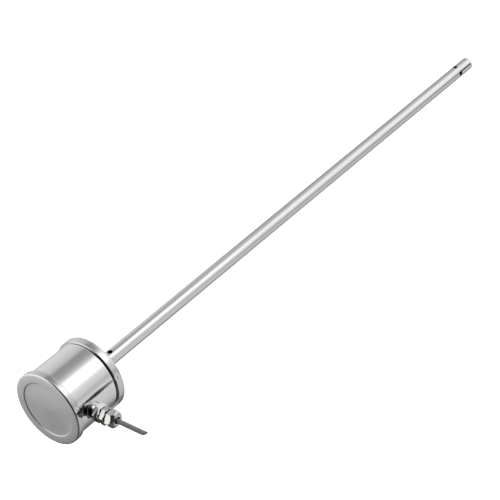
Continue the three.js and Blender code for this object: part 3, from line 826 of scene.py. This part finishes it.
def gland_nut():
    start, end = nut_start, nut_end
    corner = HEX_FLATS / math.sqrt(3)
    hex_end = end - 3.5 * MM
    nose, bore, inner, shelf = 6 * MM, 3.8 * MM, 7.3 * MM, 70.6 * MM
    outline = [(inner + 0.4 * MM, start), (HEX_FLATS / 2 - 0.1 * MM, start), (corner, start + 0.7 * MM)]
    outline += ladder(corner, start + 1 * MM, hex_end - 2 * MM, 0.5 * MM)
    outline += [(corner, hex_end - 1.6 * MM), (corner - 0.5 * MM, hex_end, 1 * MM),
                (nose + 1.6 * MM, end - 0.8 * MM, 1.6 * MM), (nose - 0.6 * MM, end, 0.5 * MM),
                (bore + 0.5 * MM, end, 0.3 * MM), (bore, end - 0.6 * MM, 0.2 * MM)]
    outline += [(bore, shelf), (inner, shelf - 0.2 * MM), (inner, start + 0.4 * MM)]
    obj = make_object("gland_nut_fine", *turned(outline, 96, hexagon(HEX_FLATS)), along_x())
    ready(obj, "gland_dome", "nickel_plate", "gland_nut")


def gland_seal():
    """The rubber bush: ribbed outside, with a mouth that opens towards the clamp."""
    start, end = span("gland_seal", 0)
    outer, inner = 5.2 * MM, 2.85 * MM
    outline = [(inner, start + 0.5 * MM), (inner + 0.4 * MM, start), (outer - 0.8 * MM, start)]
    for i in range(3):
        low = start + 0.6 * MM + i * 1.2 * MM
        outline += [(outer, low), (outer, low + 0.7 * MM), (outer - 0.3 * MM, low + 0.9 * MM)]
    outline += [(outer - 0.6 * MM, end), (inner + 0.6 * MM, end), (inner, end - 0.6 * MM)]
    obj = make_object("gland_seal_fine", *turned(outline, 64), along_x())
    ready(obj, "probe", "black_rubber", "gland_seal")


# ---------------------------------------------------------------- cable

CUT_SLOPE = 0.8
CABLE_END = 108.6 * MM
LONG_SIDE = Vector((0, 1, -1)).normalized()


def slanted(point):
    """Where the slanted cut lies, for a point across the cable."""
    across = Vector((0, point.y, point.z - gland_height))
    return CABLE_END + CUT_SLOPE * across.dot(LONG_SIDE)


def free_cable():
    """The cable's free end, from the gland to the plain face of the slanted cut."""
    sides, count = 48, 20
    verts, rings = [], []
    for i in range(count + 1):
        share = i / count
        rings.append(range(len(verts), len(verts) + sides))
        for k in range(sides):
            angle = TAU * k / sides
            y, rise = cable_radius * math.cos(angle), cable_radius * math.sin(angle)
            point = Vector((0, y, gland_height + rise))
            reach = slanted(point)
            squeeze = 1 - 0.02 * max(0.0, share - 0.9) * 10
            verts.append((nut_end + (reach - nut_end) * share, point.y * squeeze,
                          gland_height + (point.z - gland_height) * squeeze))
    faces = []
    for a, b in zip(rings, rings[1:]):
        for k in range(sides):
            j = (k + 1) % sides
            faces.append((a[k], a[j], b[j], b[k]))
    faces.append(tuple(reversed(rings[0])))
    faces.append(tuple(rings[-1]))
    obj = make_object("cable_free", verts, faces)
    ready(obj, "probe", "grey_pvc", "cable_outside")


free_cable()

# ---------------------------------------------------------------- build the head, probe and gland

base_flange()
base_gasket()
drum_shell()
socket_weld()
plain_ring("cover_gasket", "cover_seat", "black_rubber", 37.6 * MM, 192)
screw_cover()

outer_tube()
electrode_rod()
plain_ring("rod_sleeve", "probe", "black_plastic", ROD_BORE, 48)
spacers()
end_plug()
insulator_bush()
hex_nut("packing_nut", 24 * MM, 4.3 * MM)
plain_ring("insulating_washer", "probe", "white_ptfe", ROD_BORE)
plain_ring("plain_washer", "probe", "satin_steel", ROD_BORE)
ring_terminal()
hex_nut("electrode_nut", 10 * MM, ROD_BORE)

plain_ring("gland_washer", "probe", "black_rubber", GLAND_BORE, axis=0)
gland_body()
plain_ring("gland_ring", "probe", "black_rubber", 7.3 * MM, axis=0)
gland_seal()
plain_ring("gland_clamp", "gland_clamp_seat", "black_plastic", cable_radius + GAP, axis=0)
gland_nut()

for name, node in frame["nodes"].items():
    if node.hide_render:
        continue
    slot = next(p["material_slot"] for p in frame["record"]["subparts"] if p["node"] == name)
    node.data.materials.clear()
    node.data.materials.append(materials[slot])

# ---------------------------------------------------------------- studio

FLOOR_DROP = 0.1
# each band's azimuth in degrees and its brightness
LOWER_BANDS = (
    (-180, 0.82), (-150, 0.6), (-133, 0.3), (-107, 0.14), (-86, 0.24), (-66, 0.56), (-46, 0.68), (-20, 0.74),
    (-6, 0.83), (2, 0.70), (11, 0.57), (19, 0.74), (35, 0.88), (41, 1.04), (45, 1.36), (50, 1.6), (66, 1.6),
    (74, 1.36), (79, 1.05), (84, 0.74), (90, 0.57), (97, 0.44), (104, 0.39), (118, 0.35), (122, 0.44),
    (127, 0.56), (136, 0.66), (150, 0.73), (170, 0.81),
)
STEEP_BANDS = (
    (-180, 0.44), (-167, 0.47), (-151, 0.5), (-131, 0.52), (-111, 0.5), (-95, 0.47), (-79, 0.48), (-63, 0.54),
    (-47, 0.6), (-31, 0.68), (-13, 0.62), (-4, 0.5), (1, 0.36), (6, 0.48), (17, 0.72), (33, 0.98), (49, 1.12),
    (65, 1.14), (81, 1.1), (97, 0.86), (113, 0.63), (129, 0.54), (161, 0.46),
)
UPPER_BANDS = (
    (-180, 1.2), (-155, 0.85), (-133, 0.55), (-118, 0.3), (-100, 0.1), (-78, 0.1), (-58, 0.17), (-40, 0.17),
    (-20, 0.04), (85, 0.04), (100, 0.5), (112, 1.0), (130, 1.3),
)
STEEP_BELOW = (-39, -33)  # elevations over which each zone gives way to the next
LOWER_BELOW = (-24, -8)
SEAM = {"azimuth": -10.7, "light": 0.02, "fade_in": (-31.68, -31.45), "fade_out": (-29.9, -29.6),
        "widens": (-31.8, -30.9), "narrows": (-30.8, -30.2)}
DARK_GAP = {"azimuth": 1, "spread": 11, "light": 0.1, "fade_out": (-46.5, -43.5)}
FLAG = {"azimuth": -122, "elevation": 7, "inner": 9, "outer": 15, "light": 0.03}
CARD = {"azimuth": 36, "elevation": 60, "inner": 24, "outer": 34, "light": 0.02}


def azimuth_ramp(nodes, share, stops):
    ramp = nodes.tree.nodes.new("ShaderNodeValToRGB")
    nodes.link(share, ramp.inputs[0])
    made = ramp.color_ramp.elements
    made.remove(made[-1])
    for i, (azimuth, light) in enumerate(stops):
        where = azimuth / 360 + 0.5
        stop = made[0] if i == 0 else made.new(where)
        stop.position = where
        stop.color = grey(light)
    return ramp.outputs[0]


def hang_card(nodes, direction, color, card):
    """A round card with a soft edge, hung in one direction from the object."""
    turn, rise = math.radians(card["azimuth"]), math.radians(card["elevation"])
    dot = nodes.tree.nodes.new("ShaderNodeVectorMath")
    dot.operation = "DOT_PRODUCT"
    nodes.link(direction, dot.inputs[0])
    level = math.cos(rise)
    dot.inputs[1].default_value = (level * math.cos(turn), level * math.sin(turn), math.sin(rise))
    edge, full = math.cos(math.radians(card["outer"])), math.cos(math.radians(card["inner"]))
    return nodes.blend(nodes.ranged(dot.outputs["Value"], 0, 1, edge, full), color, grey(card["light"]))


def seam(nodes, degrees, elevation):
    """How much of the tent's narrow dark seam lies in a direction. It is widest near mid-height."""
    widening = nodes.ranged(elevation, 0.5, 6, *SEAM["widens"])
    width = nodes.math("SUBTRACT", widening, nodes.ranged(elevation, 0, 3.5, *SEAM["narrows"]))
    off = nodes.math("ABSOLUTE", nodes.math("SUBTRACT", degrees, SEAM["azimuth"]))
    inside = nodes.math("SUBTRACT", 1, nodes.math("SUBTRACT", off, width), clamp=True)
    return nodes.product(inside, nodes.ranged(elevation, 0, 1, *SEAM["fade_in"]),
                         nodes.ranged(elevation, 1, 0, *SEAM["fade_out"]))


def dark_gap(nodes, degrees, elevation):
    """How much of the dark gap in the tent's steepest part lies in a direction."""
    off = nodes.math("ABSOLUTE", nodes.math("SUBTRACT", degrees, DARK_GAP["azimuth"]))
    inside = nodes.math("SUBTRACT", 1, nodes.math("DIVIDE", off, DARK_GAP["spread"]), clamp=True)
    return nodes.product(inside, nodes.ranged(elevation, 1, 0, *DARK_GAP["fade_out"]))


def make_world():
    """The light tent. Polished walls mirror its lower half, whose soft bands run by azimuth; its upper
    half is dark on the camera's side."""
    world = bpy.data.worlds.new("studio")
    bpy.context.scene.world = world
    world.use_nodes = True
    nodes = Nodes(world.node_tree)
    direction = nodes.tree.nodes.new("ShaderNodeTexCoord").outputs["Generated"]
    x, y, z = nodes.split(direction)
    azimuth = nodes.math("ARCTAN2", y, x)
    elevation = nodes.math("MULTIPLY", nodes.math("ARCSINE", z), 360 / TAU)
    share = nodes.ranged(azimuth, 0, 1, -math.pi, math.pi)
    lower = azimuth_ramp(nodes, share, LOWER_BANDS)
    degrees = nodes.math("MULTIPLY", azimuth, 360 / TAU)
    lower = nodes.blend(seam(nodes, degrees, elevation), lower, grey(SEAM["light"]))
    steep = azimuth_ramp(nodes, share, STEEP_BANDS)
    steep = nodes.blend(dark_gap(nodes, degrees, elevation), steep, grey(DARK_GAP["light"]))
    lower = nodes.blend(nodes.ranged(elevation, 1, 0, *STEEP_BELOW), lower, steep)
    upper = azimuth_ramp(nodes, share, UPPER_BANDS)
    color = nodes.blend(nodes.ranged(elevation, 0, 1, *LOWER_BELOW), lower, upper)
    for card in (CARD, FLAG):
        color = hang_card(nodes, direction, color, card)
    background = nodes.tree.nodes["Background"]
    nodes.link(color, background.inputs["Color"])
    background.inputs["Strength"].default_value = 1.0


def make_floor():
    s = Shader("pale floor")
    cloud = s.noise(s.place, 3, 3)
    s.finish(s.blend(s.ranged(cloud, 0, 1), grey(0.9), grey(0.93)), 0.9, 0.0)
    s.bsdf.inputs["Emission Color"].default_value = grey(1)
    s.bsdf.inputs["Emission Strength"].default_value = 1
    size, low = 40, tube_tip - FLOOR_DROP
    corners = [(-size, -size, low), (size, -size, low), (size, size, low), (-size, size, low)]
    floor = make_object("floor", corners, [(0, 1, 2, 3)])
    floor.data.materials.append(s.material)
    floor.visible_glossy = False


make_world()
make_floor()
bpy.context.scene.view_settings.view_transform = "Standard"
